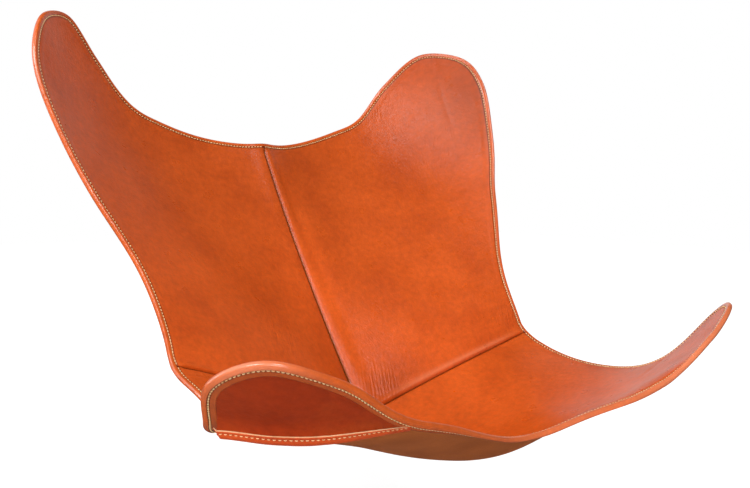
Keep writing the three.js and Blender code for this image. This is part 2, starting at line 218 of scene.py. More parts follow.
# %% [markdown]
# ## The outline of the hide
# The outline is drawn as a cutter would: a few corner points and a smooth curve through them. Paths for the
# hem, the stitches and the pockets all run along it at some distance inside the edge, so the outline is kept
# with its length along the edge and its inward direction.

# %% The outline on the flat hide
OUTLINE = np.array([
    [0, 460], [180, 490], [230, 505], [300, 560], [370, 595], [430, 563], [452, 500], [400, 290], [360, 150],
    [345, 0], [345, -115], [400, -255], [440, -330], [420, -390], [345, -413], [170, -380], [0, -345],
], float)
# Corners of the outline at the cross seam and in the middle of the front
WAIST, FRONT = 9, 16
PER_SPAN = 240
MIRROR = np.array([-1.0, 1.0])
SLOPE_REACH = 2.0
WAIST_SQUARED, CENTRE_SQUARED = 30.0, 12.0


def cubic_spans(before, start, stop, after, per_span):
    """Cubic pieces from start to stop, whose end slopes weigh the neighbouring chords by the square root of
    their length, so that the curve turns evenly. Gives an array of span, sample, coordinate."""
    gaps = [np.sqrt(np.linalg.norm(b - a, axis=1))[:, None, None]
            for a, b in ((before, start), (start, stop), (stop, after))]
    p0, p1, p2, p3 = (p[:, None, :] for p in (before, start, stop, after))
    g0, g1, g2 = gaps
    leave = ((p1 - p0) / g0 - (p2 - p0) / (g0 + g1) + (p2 - p1) / g1) * g1
    arrive = ((p2 - p1) / g1 - (p3 - p1) / (g1 + g2) + (p3 - p2) / g2) * g1
    f = (np.arange(per_span) / per_span)[None, :, None]
    square, cube = -3 * p1 + 3 * p2 - 2 * leave - arrive, 2 * p1 - 2 * p2 + leave + arrive
    return p1 + leave * f + square * f ** 2 + cube * f ** 3


def arc_length(line):
    """Length along a line at each of its points: the running sum of its steps."""
    return np.concatenate([[0], np.cumsum(np.linalg.norm(np.diff(line, axis=0), axis=1))])


def sample(line, arc, at):
    """Points of a line at given lengths along it, straight between the line's own points."""
    return np.stack([np.interp(at, arc, line[:, k]) for k in range(line.shape[1])], -1)


loop = np.concatenate([OUTLINE, (OUTLINE[1:-1] * MIRROR)[::-1]])
spans = cubic_spans(np.roll(loop, 1, 0), loop, np.roll(loop, -1, 0), np.roll(loop, -2, 0), PER_SPAN)
edge_line = np.concatenate([spans[:FRONT].reshape(-1, 2), OUTLINE[FRONT:]])
edge_arc = arc_length(edge_line)
corner_arc = edge_arc[::PER_SPAN]


def along_edge(arc):
    """Point of the outline at a length along it, and its inward direction: the slope turned a quarter turn
    to the right, and squared up to the cross seam and to the centre line where the edge meets them."""
    place = sample(edge_line, edge_arc, arc)
    low, high = np.clip(arc - SLOPE_REACH, 0, None), np.clip(arc + SLOPE_REACH, None, edge_arc[-1])
    step = sample(edge_line, edge_arc, high) - sample(edge_line, edge_arc, low)
    inward = unit(np.stack([step[..., 1], -step[..., 0]], -1))
    near_waist = np.exp(-(place[..., 1:] / WAIST_SQUARED) ** 2)
    near_centre = np.exp(-(place[..., :1] / CENTRE_SQUARED) ** 2)
    upright = np.stack([0 * arc, -np.sign(place[..., 1])], -1)
    inward = inward + (np.array([-1.0, 0.0]) - inward) * near_waist
    inward = inward + (upright - inward) * near_centre
    return place, unit(inward)


print("Edge of one half:", round(edge_arc[-1]), "mm, of which the back has", round(corner_arc[WAIST]), "mm")

# %% [markdown]
# ## Meshes from grids
# Each piece is a grid of flat points that is carried to the hung shape, so its faces are quads between
# neighbouring grid lines. Two builders are enough. A sheet gets a second face one leather thickness away and
# a rim along its border. A strip is a closed section, an outer and an inner line, carried along a path.
# The flat place of each point is kept as a UV map, so that grain and wrinkles follow the hide.

# %% Mesh builders
MADE = {}


def grid_quads(index):
    """Quads of a grid of vertex numbers, going round each cell."""
    corners = (index[:-1, :-1], index[1:, :-1], index[1:, 1:], index[:-1, 1:])
    return np.stack([c.ravel() for c in corners], -1)


def add_mesh(name, points, quads, flat, crisp=None, finish=None, marks=None):
    """Mesh object at the origin from points, quads and the flat place of each point. crisp faces keep their
    edges sharp, and marks are named values of each point for its finish."""
    mesh = bpy.data.meshes.new(name)
    mesh.vertices.add(len(points))
    mesh.vertices.foreach_set("co", np.ascontiguousarray(points, np.float32).ravel())
    mesh.loops.add(quads.size)
    mesh.loops.foreach_set("vertex_index", np.ascontiguousarray(quads, np.int32).ravel())
    mesh.polygons.add(len(quads))
    mesh.polygons.foreach_set("loop_start", np.arange(0, quads.size, 4, dtype=np.int32))
    if finish is not None:
        mesh.polygons.foreach_set("material_index", finish.astype(np.int32))
    uv = mesh.uv_layers.new(name="flat")
    uv.data.foreach_set("uv", np.ascontiguousarray(flat[quads.ravel()] * MM, np.float32).ravel())
    for mark, values in (marks or {}).items():
        layer = mesh.attributes.new(mark, "FLOAT", "POINT")
        layer.data.foreach_set("value", np.ascontiguousarray(values, np.float32))
    mesh.update(calc_edges=True)
    mesh.validate()
    mesh.polygons.foreach_set("use_smooth", np.ones(len(quads), bool))
    if crisp is not None:
        edges = np.zeros(quads.size, np.int32)
        mesh.loops.foreach_get("edge_index", edges)
        sharp = np.zeros(len(mesh.edges), bool)
        sharp[edges.reshape(-1, 4)[crisp]] = True
        mesh.edges.foreach_set("use_edge_sharp", sharp)
    piece = bpy.data.objects.new(name, mesh)
    bpy.context.scene.collection.objects.link(piece)
    MADE[name] = piece
    return piece


def sheet_solid(name, face, flat, quads, upper, lower, marks=None):
    """Closed sheet between two heights: its faces at the first height, the same faces turned over at the
    second, and a wall along every border edge, an edge whose opposite isn't in the mesh.
    Finish 0 is the first face, 1 the second, 2 the wall."""
    count = len(flat)
    points = np.concatenate([hung(face, flat[:, 0], flat[:, 1], h) for h in (upper, lower)])
    start, stop = quads.ravel(), np.roll(quads, -1, 1).ravel()
    border = ~np.isin(start * count + stop, stop * count + start)
    a, b = start[border], stop[border]
    walls = np.stack([b, a, a + count, b + count], -1)
    everything = np.concatenate([quads, quads[:, ::-1] + count, walls])
    finish = np.repeat([0, 1, 2], [len(quads), len(quads), len(walls)])
    doubled = {mark: np.tile(values, 2) for mark, values in (marks or {}).items()}
    return add_mesh(name, points, everything, np.concatenate([flat, flat]), finish == 2, finish, doubled)


def strip_solid(name, outer, inner, flat_outer, flat_inner, turn, marks=None, pale=0):
    """Closed strip from rows of matching outer and inner points: round each section, along the path, and a
    cap of quads at both ends. turn reverses the faces of a mirrored strip, marks are values on the outer
    points, which the inner points share, and the first pale cells of the section take finish 1."""
    rows, size = outer.shape[:2]
    ring = np.concatenate([outer, inner[:, ::-1]], 1)
    flat = np.concatenate([flat_outer, flat_inner[:, ::-1]], 1)
    index = np.arange(rows * 2 * size).reshape(rows, 2 * size)
    sides = grid_quads(np.concatenate([index, index[:, :1]], 1))
    caps = [np.stack([row[:size - 1], row[1:size], row[::-1][1:size], row[::-1][:size - 1]], -1)
            for row in (index[0], index[-1])]
    quads = np.concatenate([sides, caps[0], caps[1][:, ::-1]])
    quads = quads[:, ::-1] if turn else quads
    cell = np.arange(len(quads))
    crisp = cell >= len(sides)
    finish = (cell % (2 * size) < pale) & ~crisp
    doubled = {mark: np.concatenate([values, values[:, ::-1]], 1).ravel()
               for mark, values in (marks or {}).items()}
    return add_mesh(name, ring.reshape(-1, 3), quads, flat.reshape(-1, 2), crisp, finish, doubled)


print("Builders ready: sheet_solid and strip_solid")

# %% [markdown]
# ## Panels
# The back is cut in two halves and joined by a seam down the middle, and the seat is one piece. Along the
# seams the leather is pulled in, so it swells in a soft ridge and then dives into the groove. Along the hem
# the stitches press a line into it. Each half panel is a grid stretched between its four sides, a Coons
# patch, so its lines can crowd together at the seams, and a band of rows follows the hem exactly.

# %% Relief of the panels
LEATHER = 2.75
SEAM_GAP = 0.35
GROOVE = 2.2
# Fold across the right front wing: a point of it, and the direction across it
FOLD_AT, FOLD_ACROSS = (352.0, -271.0), (0.19, -0.98)
# Crease up the right upper wing: a point of it, and its lean to the right
CREASE_AT, CREASE_LEAN = (383.0, 437.0), 0.05
# Rows along the hem, from the open leather outwards: distance from the edge and how far pressed in
BAND = 22.0
HEM_BAND = np.array([[22, 0], [19, 0], [15.5, -0.25], [11.5, -0.3], [9.0, -0.12], [7.8, 0.14], [6.9, 0.42],
                     [5.8, 0.5], [4.7, 0.5]])


def smooth_line(corners, count):
    """Open smooth line through the corners, resampled at equal lengths."""
    ends = np.concatenate([[2 * corners[0] - corners[1]], corners, [2 * corners[-1] - corners[-2]]])
    line = cubic_spans(ends[:-3], ends[1:-2], ends[2:-1], ends[3:], 40).reshape(-1, corners.shape[1])
    line = np.concatenate([line, corners[-1:]])
    arc = arc_length(line)
    return sample(line, arc, np.linspace(0, arc[-1], count))


def seam_swell(distance, ridge, offset, width, depth):
    """Height beside a seam: a bell-shaped dive into the groove less a bell-shaped ridge next to it."""
    return depth * np.exp(-(distance / GROOVE) ** 2) - ridge * np.exp(-((distance - offset) / width) ** 2)


def panel_relief(face, s, v, from_edge):
    """Height of the grain face: the swell of the centre seam on the back, larger on the right panel, which
    laps over, than on the left, which slopes in under it; the swell of the cross seam; a crease up the right
    upper wing and a fold across the right front wing, both bells of the distance from a line. All fade out
    under the hem."""
    low = np.clip(1 - v / OUTLINE[0, 1], 0, 1)
    clear = smooth_share(from_edge, 7, 20)
    # Each swell: its ridge, the ridge's offset and width, and the groove's depth
    over = seam_swell(s, 1.2 + 2.2 * low, 8 + 6 * low, 7 + 8 * low, 3.0)
    under = seam_swell(-s, 0.3, 14, 8, 2.6) + (0.6 + 1.6 * low) * np.exp(-(s / (6 + 6 * low)) ** 2)
    cross = seam_swell(np.abs(v), 1.7 if face is back else 0.4, 5.0, 4.2, 2.2)
    from_fold = (s - FOLD_AT[0]) * FOLD_ACROSS[0] + (v - FOLD_AT[1]) * FOLD_ACROSS[1]
    folded = 1.6 * np.exp(-(from_fold / 5) ** 2) * smooth_share(s, 270, 345)
    from_crease = s - CREASE_AT[0] - CREASE_LEAN * (v - CREASE_AT[1])
    crease = -0.6 * np.exp(-(from_crease / 4) ** 2) * smooth_share(v, 420, 480)
    return clear * (cross + (np.where(s > 0, over, under) + crease if face is back else folded))


print("Hem band rows from", HEM_BAND[0, 0], "to", HEM_BAND[-1, 0], "mm inside the edge")

# %% [markdown]
# The rows next to a seam have to be much closer together than those in the open, because the groove is only
# a few millimetres wide. So the spacing starts at a tenth of the usual step and grows quickly to it.

# %% Half panels
CROWDING = 0.92
CROWD_REACH = 0.09
BAND_ROWS = 22
BACK_GRID, SEAT_GRID = (220, 150), (120, 120)
# Tips of the upper and of the front wing, counted in corners of the outline
UPPER_TIP, FRONT_TIP = 4.55, 12.45


def crowded(count):
    """Shares from 0 to 1 that start close together: t - k r (1 - exp(-t / r)), scaled to end at 1, for a
    crowding k and its reach r."""
    t = np.linspace(0, 1, count)
    x = t - CROWDING * CROWD_REACH * (1 - np.exp(-t / CROWD_REACH))
    return x / x[-1]


def coons(bottom, top, left, right, across, up):
    """Grid between four sides: both pairs blended, less the blend of the four corners."""
    u, w = across[:, None, None], up[None, :, None]
    pairs = ((1 - w) * bottom[:, None] + w * top[:, None]) + ((1 - u) * left[None] + u * right[None])
    corners = ((1 - u) * (1 - w) * bottom[0] + u * (1 - w) * bottom[-1]
               + (1 - u) * w * top[0] + u * w * top[-1])
    return pairs - corners


def half_panel(face, tip_arc, middle, counts):
    """Flat points and quads of the right half of a panel, and each point's distance from the edge and how far
    it is pressed in. middle is the s of its inner side. The far side runs along the edge from the centre to
    the wing's tip, the right side from the waist to the tip."""
    across, up = crowded(counts[0]), crowded(counts[1])
    end = 0.0 if face is back else edge_arc[-1]
    start = end + face.sense * middle
    waist = corner_arc[WAIST] - face.sense * SEAM_GAP
    far_arc = start + (tip_arc - start) * across
    right_arc = waist + (tip_arc - waist) * up
    ring_arc = np.concatenate([far_arc, right_arc[::-1][1:]])
    place, inward = along_edge(ring_arc)
    place[0, 0] = middle
    place[-1, 1] = face.sense * SEAM_GAP
    ring = place + inward * BAND
    far, right = ring[:counts[0]], ring[counts[0] - 1:][::-1]
    low = face.sense * SEAM_GAP
    bottom = np.stack([middle + (right[0, 0] - middle) * across, np.full(counts[0], low)], -1)
    left = np.stack([np.full(counts[1], middle), low + (far[0, 1] - low) * up], -1)
    inside = coons(bottom, far, left, right, across, up)
    rows = smooth_line(HEM_BAND, BAND_ROWS)[1:]
    band = place[:, None] + inward[:, None] * rows[None, :, :1]
    index = np.arange(inside[..., 0].size).reshape(counts)
    outer = inside[..., 0].size + np.arange(band[..., 0].size).reshape(band.shape[:2])
    rim = np.concatenate([index[:, -1], index[-1, ::-1][1:]])
    quads = np.concatenate([grid_quads(index), grid_quads(np.concatenate([rim[:, None], outer], 1))])
    flat = np.concatenate([inside.reshape(-1, 2), band.reshape(-1, 2)])
    from_edge = np.concatenate([np.full(index.size, BAND), np.broadcast_to(rows[:, 0], outer.shape).ravel()])
    pressed = np.concatenate([np.zeros(index.size), np.broadcast_to(rows[:, 1], outer.shape).ravel()])
    return flat, quads[:, ::face.sense], from_edge, pressed


back_tip, seat_tip = np.interp([UPPER_TIP, FRONT_TIP], np.arange(len(corner_arc)), corner_arc)
back_half = half_panel(back, back_tip, SEAM_GAP, BACK_GRID)
seat_half = half_panel(seat, seat_tip, 0.0, SEAT_GRID)
print("Half back:", len(back_half[0]), "points; half seat:", len(seat_half[0]), "points")

# %% [markdown]
# Leather that has been sat on isn't even. Fine wrinkles gather where the seams pull it in. Light and shade
# are
# painted into the dye as well: painted light where the leather catches the light, painted shade in the
# grooves and creases, and a painted highlight on the ridge above the cross seam. A texture picture could hold
# all that.
# Here a few soft spots on the flat hide are enough: their sum is kept at every point under a name, as a mark,
# and the finish reads the marks later.

# %% Wrinkles, painted light and painted shade
GATHER, GATHER_LEAN = 0.34, 0.33
# Painted shade in the seam grooves: its strength, and its width along the cross seam and along the centre
# seam
SEAM_PAINTED_SHADE = 0.5
CROSS_SHADE_WIDTH, CENTRE_SHADE_WIDTH = 1.2, 1.8
# Painted highlight on the ridge above the right half of the cross seam: its height above the seam, width,
# strength
RIDGE_AT, RIDGE_WIDTH, RIDGE_HIGHLIGHT = 7.0, 5.0, 0.28
# Spots of fine wrinkles: s and v of the middle, half width across and along, strength
WRINKLES = np.array([
    [43, 28, 28, 25, 1.0],       # right of the seams' crossing
    [-128, 98, 28, 40, 0.7],     # low on the left panel
    [318, 50, 30, 45, 0.7],      # right waist
    [275, 508, 34, 30, 0.5],     # neck of the right upper wing
    [-150, -30, 90, 20, 0.4],    # seat, left of the crossing
    [340, 410, 50, 70, 0.3],     # right upper wing
])
# Spots that scale the dye, in the same order: the first darkens the top of the back, the other darker
# ones are painted shade on the right upper wing and in the gathers, and the brighter ones are painted light
LIGHT_AND_SHADE_SPOTS = np.array([
    [0, 430, 300, 200, -0.18],   # top of the back
    [430, 490, 90, 110, -0.28],  # outer side of the right upper wing
    [180, 50, 120, 70, 0.08],    # low on the right panel
    [60, 20, 45, 30, -0.22],     # gathers by the crossing
    [-390, 510, 70, 70, 0.08],   # left upper wing
    [300, -320, 150, 130, 0.2],  # right front wing
    [22, 240, 24, 130, 0.2],     # right of the centre seam
    [-35, 190, 30, 90, 0.14],    # left of the centre seam
])


def bells(flat, spots):
    """Sum of bell-shaped spots on the flat hide, each exp(-(ds / width)^2 - (dv / length)^2) times its
    strength."""
    across = (flat[:, :1] - spots[:, 0]) / spots[:, 2]
    along = (flat[:, 1:] - spots[:, 1]) / spots[:, 3]
    return np.exp(-across ** 2 - along ** 2) @ spots[:, 4]


def gathers(flat):
    """Ridges where the leather is gathered into the seams: two sines across, of different length, inside the
    first spot of wrinkles."""
    across = flat[:, 0] - GATHER_LEAN * flat[:, 1]
    ridges = np.sin(across / 0.95) + 0.5 * np.sin(across / 1.37 + flat[:, 1] / 19)
    return GATHER * ridges * bells(flat, WRINKLES[:1])


def seam_shade(face, flat):
    """Painted shade in the seam grooves, as a share of the dye: a narrow bell along the cross seam, and along
    the centre seam of the back."""
    painted_shade = SEAM_PAINTED_SHADE * np.exp(-(flat[:, 1] / CROSS_SHADE_WIDTH) ** 2)
    if face is back:
        painted_shade = painted_shade + SEAM_PAINTED_SHADE * np.exp(-(flat[:, 0] / CENTRE_SHADE_WIDTH) ** 2)
    return painted_shade


def ridge_highlight(face, flat):
    """Painted highlight on the ridge above the right half of the cross seam: a bell a little above the seam,
    which fades in from the crossing and out towards the waist."""
    above = np.exp(-((flat[:, 1] - RIDGE_AT) / RIDGE_WIDTH) ** 2) if face is back else 0
    along = smooth_share(flat[:, 0], 20, 120) * (1 - smooth_share(flat[:, 0], 250, 340))
    return RIDGE_HIGHLIGHT * above * along


# The second count is of the spots of painted light and shade
print("Spots of wrinkles:", len(WRINKLES), "and of dye:", len(LIGHT_AND_SHADE_SPOTS))

# %% Panels on the hung shape
# Painted shade in the groove that the hem's stitches press: distance from the edge, width, strength
PRESSED_AT, PRESSED_WIDTH, PRESSED_SHADE = 8.3, 1.1, 0.5


def add_panel(name, face, flat, quads, from_edge, pressed):
    """Panel from its flat points: grain face at its relief, flesh face one leather thickness outwards.
    Marks say where it is wrinkled, where a pale highlight is painted, and how far its dye is scaled by
    painted light and painted shade, with painted shade in the line that the hem's stitches press and in the
    seams."""
    grain = panel_relief(face, flat[:, 0], flat[:, 1], from_edge) + pressed
    grain += gathers(flat) if face is back else 0
    stitch_line_shade = PRESSED_SHADE * np.exp(-((from_edge - PRESSED_AT) / PRESSED_WIDTH) ** 2)
    marks = {"wrinkled": bells(flat, WRINKLES),
             "painted_highlight": ridge_highlight(face, flat),
             "tone": 1 + bells(flat, LIGHT_AND_SHADE_SPOTS) - stitch_line_shade - seam_shade(face, flat)}
    return sheet_solid(name, face, flat, quads, grain, grain + LEATHER, marks)


flat, quads, from_edge, pressed = back_half
panel_right = add_panel("back_leather_right", back, flat, quads, from_edge, pressed)
panel_left = add_panel("back_leather_left", back, flat * MIRROR, quads[:, ::-1], from_edge, pressed)

flat, quads, from_edge, pressed = seat_half
twin = np.arange(len(flat))
twin = np.where(np.abs(flat[:, 0]) < 1e-6, twin, twin + len(flat))
whole = np.concatenate([quads, twin[quads[:, ::-1]]])
used, whole = np.unique(whole, return_inverse=True)
both = np.concatenate([flat, flat * MIRROR])[used]
panel_seat = add_panel("seat_leather", seat, both, whole.reshape(-1, 4),
                       np.tile(from_edge, 2)[used], np.tile(pressed, 2)[used])
print("Panels:", [(p.name, len(p.data.polygons)) for p in (panel_left, panel_right, panel_seat)])

# %% [markdown]
# ## The turned edge
# All round, the leather is folded outwards over itself and stitched. The fold is a fat roll in front of the
# stitches and a flat flap behind them, and the stitch line pulls both faces in. A bevel on the panel would
# give a round edge, but not this roll, groove and flap. So the section is drawn once, as an outer and an
# inner line of (distance from the edge, height), and carried along the outline.

# %% Hems
HEM_OUTER = np.array([[6.6, 0.3], [6.25, -0.35], [5.55, -0.75], [4.35, -0.95], [2.8, -1.0], [1.4, -0.85],
                      [0.45, -0.25], [0.05, 0.8], [0, 2.5], [0.2, 4.2], [1.05, 5.6], [2.5, 6.5], [4.1, 7.0],
                      [5.2, 7.0], [5.8, 6.4], [6.25, 5.2], [6.6, 4.3], [7.1, 4.4], [7.7, 5.0], [8.8, 5.4],
                      [10.6, 5.5], [12.6, 5.45], [13.8, 5.3], [14.4, 4.9], [14.55, 4.3], [14.55, 3.4]])
HEM_INNER = np.array([[6.4, 0.42], [5.2, 0.36], [4.0, 0.4], [3.4, 1.8], [4.0, 3.25], [7.5, 3.27],
                      [14.4, 3.27]])
HEM_POINTS = 52
HEM_STEP = 4.0
ROLL_TOP, ROLL_END, FLAP_START = 5.0, 6.6, 8.0
CENTRE_GAP = 0.05
# Painted shade over the flap that lies behind the roll
FLAP_SHADE = 0.22
# Lines of painted shade in the hem's grooves and at the flap's end: distance from the edge, width, strength
HEM_SHADES = np.array([
    [6.2, 0.8, 0.6],             # where the roll dives to the stitches
    [8.2, 0.6, 0.35],            # behind the stitches
    [14.6, 0.7, 0.5],            # end of the flap
])
# Spots of pale painted highlight on the hem's roll, with the same columns as the spots of painted light and
# shade
HEM_HIGHLIGHTS = np.array([
    [290, -400, 170, 60, 0.5],   # edge of the right front wing
    [30, -350, 150, 60, 0.2],    # middle of the front edge
    [-432, -372, 48, 48, 0.42],  # top of the left front roll
])
FACES = {"back": back, "seat": seat}
SIDES = {"right": 1, "left": -1}


def all_round(add, label, ends):
    """The same piece at both ends and on both sides of the sling, each kept by its end and side."""
    return {(end, side): add(f"{end}_{label}_{side}", made_for, sign)
            for end, made_for in ends.items() for side, sign in SIDES.items()}


def edge_stations(face, step):
    """Places along the edge of the right half of a face, from one seam to the other."""
    waist = corner_arc[WAIST]
    low, high = (CENTRE_GAP, waist) if face is back else (waist, edge_arc[-1] - CENTRE_GAP)
    return np.linspace(low, high, int((high - low) / step))


def add_hem(name, face, side):
    """The hem's section carried along the edge, on the right or left side. Painted shade darkens its dye on
    the flap, in the stitch line and along the flap's end, and pale highlights are painted on its roll in
    places."""
    place, inward = along_edge(edge_stations(face, HEM_STEP))
    lines = [smooth_line(line, HEM_POINTS) for line in (HEM_OUTER, HEM_INNER)]
    flats = [(place[:, None] + inward[:, None] * line[None, :, :1]) * [side, 1] for line in lines]
    rows = [hung(face, f[..., 0], f[..., 1], line[None, :, 1]) for f, line in zip(flats, lines)]
    inside = lines[0][:, 0]
    # Painted shade on the flap and in the grooves, and pale painted highlights on the roll
    shades = np.exp(-((inside[:, None] - HEM_SHADES[:, 0]) / HEM_SHADES[:, 1]) ** 2) @ HEM_SHADES[:, 2]
    tone = 1 - FLAP_SHADE * smooth_share(inside, ROLL_END, FLAP_START) - shades
    painted_highlight = np.clip(bells(flats[0].reshape(-1, 2), HEM_HIGHLIGHTS), 0, 1).reshape(flats[0].shape[:2])
    on_roll = 1 - smooth_share(inside, ROLL_TOP, ROLL_END)
    marks = {"tone": np.tile(tone, (len(place), 1)), "painted_highlight": painted_highlight * on_roll}
    return strip_solid(name, rows[0], rows[1], flats[0], flats[1], side < 0, marks)


hems = all_round(add_hem, "turned_edge", FACES)
print("Hems:", [h.name for h in hems.values()])

# %% [markdown]
# ## Pockets
# Behind each wing a second piece of leather is caught under the hem, and its free edge is the mouth that the
# frame's tip goes into. It lies flat at the hem and stands off towards the middle of the mouth. The pocket is
# another Coons patch, between the mouth and three stretches of the hem. Its height grows with the distance
# from the hem.

# %% Pocket leather
POCKET_EDGE = 14.2
POCKET_HEIGHT = 3.05
POCKET_LEATHER = 1.6
POCKET_ROOM = 3.0
POCKET_RISE = 55.0
DROOP_REACH = 16.0
SEWN_POINTS, MOUTH_POINTS = 240, 120
SEWN_CORNERS = (80, 160)
POCKET_GRID = (60, 44)
Droop = namedtuple("Droop", "depth start fade")
Pocket = namedtuple("Pocket", "face sewn mouth droop")


def bow_line(start, bow, stop, count):
    """Points of the curve (1-u)^2 start + 2u(1-u) bow + u^2 stop."""
    u = np.linspace(0, 1, count)[:, None]
    return (1 - u) ** 2 * start + 2 * u * (1 - u) * bow + u ** 2 * stop


def nearest_arc(target):
    """Length along the edge at its point nearest to the target."""
    return edge_arc[np.argmin(np.linalg.norm(edge_line - target, axis=1))]


def pocket_lines(face, start, bow, stop, droop):
    """The sewn line under the hem, from one end of the mouth to the other, and the mouth itself."""
    place, inward = along_edge(np.linspace(nearest_arc(start), nearest_arc(stop), SEWN_POINTS))
    sewn = place + inward * POCKET_EDGE
    return Pocket(face, sewn, bow_line(sewn[0], np.array(bow, float), sewn[-1], MOUTH_POINTS), droop)


def stand_off(pocket, flat):
    """How far a pocket stands off: its room times the smooth share of the distance to the sewn line, and a
    droop exp(-(distance / reach)^2) along the mouth, which dies out towards the mouth's ends."""
    sewn, mouth = (np.linalg.norm(flat[..., None, :] - line, axis=-1)
                   for line in (pocket.sewn[::3], pocket.mouth))
    share = mouth.argmin(-1) / (len(pocket.mouth) - 1)
    free = smooth_share(share, 0, pocket.droop.start) * (1 - smooth_share(share, pocket.droop.fade, 1))
    droop = pocket.droop.depth * free * np.exp(-(mouth.min(-1) / DROOP_REACH) ** 2)
    return POCKET_ROOM * smooth_share(sewn.min(-1), 0, POCKET_RISE) + droop


# For each mouth: its start on the edge, the point that bows it, its end on the edge, and its droop
POCKETS = {
    "back": pocket_lines(back, [232, 505], [325, 430], [428, 390], Droop(2.0, 0.5, 0.5)),
    "front": pocket_lines(seat, [405, -252], [332, -338], [224, -400], Droop(12.0, 0.015, 0.4)),
}


def spread(line, shares):
    """Points of a line at shares of its count of points."""
    return sample(line, np.arange(len(line)), shares * (len(line) - 1))


def add_pocket(name, pocket, side):
    """Pocket leather: a Coons patch from the mouth to the sewn line, which is cut in three at its corners."""
    across, up = (np.linspace(0, 1, count) for count in POCKET_GRID)
    first, last = SEWN_CORNERS
    far = spread(pocket.sewn[first:last + 1], across)
    left, right = spread(pocket.sewn[:first + 1], up), spread(pocket.sewn[last:][::-1], up)
    flat = coons(spread(pocket.mouth, across), far, left, right, across, up).reshape(-1, 2)
    quads = grid_quads(np.arange(len(flat)).reshape(POCKET_GRID))
    cell = flat[quads[0]]
    turn = np.cross(cell[1] - cell[0], cell[3] - cell[0]) * side < 0
    inner = POCKET_HEIGHT + stand_off(pocket, flat)
    return sheet_solid(name, pocket.face, flat * [side, 1], quads[:, ::-1] if turn else quads,
                       inner, inner + POCKET_LEATHER)


pockets = all_round(add_pocket, "pocket_leather", POCKETS)
print("Pockets:", [p.name for p in pockets.values()])

# %% [markdown]
# ## The strip along each mouth
# The mouth takes all the pull, so it is bound with a folded strip that is stitched through. From outside it
# shows as a narrow band with a pale cut edge and a row of stitches. It is the same kind of section as the
# hem, only smaller, and it rides on the pocket's own height.

# %% Mouth bindings
BINDING_OUTER = np.array([[11.2, 0.1], [11.3, 1.7], [10.8, 2.1], [9.8, 1.9], [8.6, 1.2], [7.2, 1.1],
                          [6.0, 1.6], [4, 1.75], [1, 1.6], [-0.7, 1.0], [-1.3, -0.4], [-0.7, -1.6],
                          [1, -1.85], [10, -1.85]])
BINDING_INNER = np.array([[11, 0.02], [6, 0.02], [0.2, 0], [-0.1, -0.8], [0.2, -1.63], [6, -1.63],
                          [10, -1.63]])
BINDING_POINTS = 40
BINDING_STEP, BINDING_MARGIN = 3.0, 2.0
PALE_CELLS = 2


def mouth_stations(pocket, step, margin):
    """Places along a pocket's mouth, and the direction from the mouth into the pocket: the slope turned a
    quarter turn to the pocket's side."""
    arc = arc_length(pocket.mouth)
    at = np.linspace(margin, arc[-1] - margin, int((arc[-1] - 2 * margin) / step))
    place = sample(pocket.mouth, arc, at)
    slope = np.gradient(place, axis=0)
    inward = unit(np.stack([-slope[:, 1], slope[:, 0]], -1))
    towards = pocket.sewn[len(pocket.sewn) // 2] - pocket.mouth[len(pocket.mouth) // 2]
    return place, inward * np.sign(inward[len(inward) // 2] @ towards)


def add_binding(name, pocket, side):
    """The binding's section carried along the mouth, above the pocket's outer face. Its first cells are the
    pale cut edge."""
    place, inward = mouth_stations(pocket, BINDING_STEP, BINDING_MARGIN)
    lines = [smooth_line(line, BINDING_POINTS) for line in (BINDING_OUTER, BINDING_INNER)]
    flats = [place[:, None] + inward[:, None] * line[None, :, :1] for line in lines]
    base = POCKET_HEIGHT + POCKET_LEATHER
    rows = [hung(pocket.face, f[..., 0] * side, f[..., 1], base + stand_off(pocket, f) + line[None, :, 1])
            for f, line in zip(flats, lines)]
    way = np.cross(place[1] - place[0], inward[0])
    return strip_solid(name, rows[0], rows[1], flats[0] * [side, 1], flats[1] * [side, 1], way * side > 0,
                       pale=PALE_CELLS)


bindings = all_round(add_binding, "mouth_strip", POCKETS)
print("Bindings:", [b.name for b in bindings.values()])

# %% [markdown]
# ## Seam strips
# On the outside the two seams are covered with flat strips, so that the cut edges don't fray. They lie over
# the swelling of the seam, and the cross strip bends round the corner between back and seat.

# %% Seam strips
TAPE_HALF = 15.0
TAPE_LEATHER = 1.4
TAPE_TOP_ROOM = 16.5
TAPE_END = 309.0
TAPE_REST, TAPE_HUMP, HUMP_WIDTH = 3.0, 3.1, 5.0


def tape_height(distance):
    """Inner height of a seam strip: flat, with a bell-shaped hump over the folded seam."""
    return TAPE_REST + TAPE_HUMP * np.exp(-(distance / HUMP_WIDTH) ** 2)


def add_centre_tape():
    """Strip down the centre seam from the hem, its end turned over the crossing on to the seat."""
    s = np.linspace(-TAPE_HALF, TAPE_HALF, 31)[None]
    down = np.linspace(OUTLINE[0, 1] - TAPE_TOP_ROOM, 0, 120)[:, None]
    over = np.linspace(0, -TAPE_HALF, 12)[1:, None]
    rows = [np.concatenate([hung(face, s, v, tape_height(s) + t) for face, v in ((back, down), (seat, over))])
            for t in (TAPE_LEATHER, 0.0)]
    flat = np.stack(np.broadcast_arrays(s, np.concatenate([down, over])), -1)
    return strip_solid("centre_seam_strip", rows[0], rows[1], flat, flat, False)


